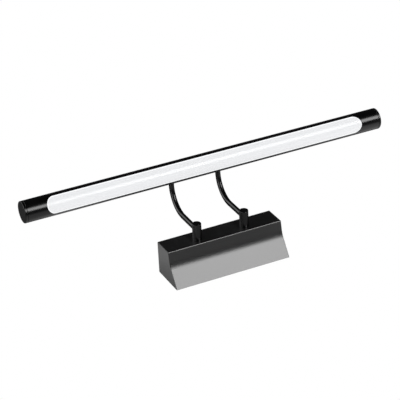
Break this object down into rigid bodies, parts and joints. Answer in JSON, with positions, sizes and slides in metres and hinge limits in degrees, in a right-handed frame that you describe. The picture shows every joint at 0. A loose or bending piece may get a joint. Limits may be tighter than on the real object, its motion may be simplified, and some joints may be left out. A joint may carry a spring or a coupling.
{
  "type": "picture light",
  "caption": "Wall-mounted picture light: a tilting round tube lamp with a long opal window on two swan-neck arms over a box with a flared front.",
  "frame": {"origin": "centre of the wall face, where the box and its bracket meet the wall", "axes": "+X along the lamp tube; +Z straight out of the wall; +Y up the wall when the light hangs above a picture, so the window looks down the wall. The part is drawn lying on its wall face, as it is pictured."},
  "size_m": [0.5, 0.1084, 0.1425],
  "materials": {
    "black_coat": "semi-gloss black powder coat",
    "opal": "opal acrylic, smooth",
    "zinc_steel": "zinc-plated steel",
    "brass": "plain brass",
    "aluminium": "mill-finish extrusion",
    "black_rubber": "moulded rubber",
    "white_nylon": "natural nylon",
    "dark_plastic": "moulded plastic",
    "green_board": "green circuit board",
    "white_board": "white solder mask on aluminium",
    "led_phosphor": "yellow phosphor",
    "winding_tape": "yellow tape over windings",
    "capacitor_sleeve": "shrink sleeve",
    "copper_winding": "enamelled copper wire",
    "red_insulation": "silicone insulation",
    "black_insulation": "silicone insulation",
    "brown_insulation": "PVC insulation",
    "blue_insulation": "PVC insulation",
    "earth_insulation": "PVC insulation"
  },
  "bodies": {
    "base": {"base_housing": "black_coat", "wall_bracket": "zinc_steel", "housing_screws": "black_coat", "cable_grommet": "black_rubber", "cable_clamp": "white_nylon", "clamp_screws": "zinc_steel", "terminal_block": "white_nylon", "terminal_barrels": "brass", "terminal_screws": "zinc_steel", "block_screws": "zinc_steel", "earth_screw": "brass", "earth_lug": "zinc_steel", "earth_lead": "earth_insulation", "live_lead": "brown_insulation", "neutral_lead": "blue_insulation", "driver_strap": "zinc_steel", "driver_screws": "zinc_steel", "driver_case": "dark_plastic", "driver_cover": "dark_plastic", "driver_board": "green_board", "driver_transformer": "winding_tape", "driver_capacitors": "capacitor_sleeve", "driver_choke": "copper_winding", "driver_chips": "dark_plastic", "post_left": "black_coat", "post_right": "black_coat", "post_washers": "zinc_steel", "post_nuts": "zinc_steel", "arm_screws": "black_coat", "arm_left": "black_coat", "arm_right": "black_coat", "pivot_axle": "zinc_steel", "friction_washers": "zinc_steel", "axle_clips": "zinc_steel", "positive_lead": "red_insulation", "negative_lead": "black_insulation"},
    "head": {"lamp_tube": "black_coat", "diffuser": "opal", "led_tray": "aluminium", "led_board": "white_board", "leds": "led_phosphor", "board_screws": "zinc_steel", "bearing_left": "white_nylon", "bearing_right": "white_nylon", "bearing_screws": "zinc_steel", "board_lead_positive": "red_insulation", "board_lead_negative": "black_insulation", "end_cap_left": "black_coat", "end_cap_right": "black_coat", "cap_screws": "black_coat", "cap_seals": "black_rubber"}
  },
  "joints": [
    {"name": "head_tilt", "type": "hinge", "parent": "base", "child": "head", "pos_m": [0, 0.03993, 0.12853], "axis": [1, 0, 0], "range_deg": [-60, 60]}
  ]
}
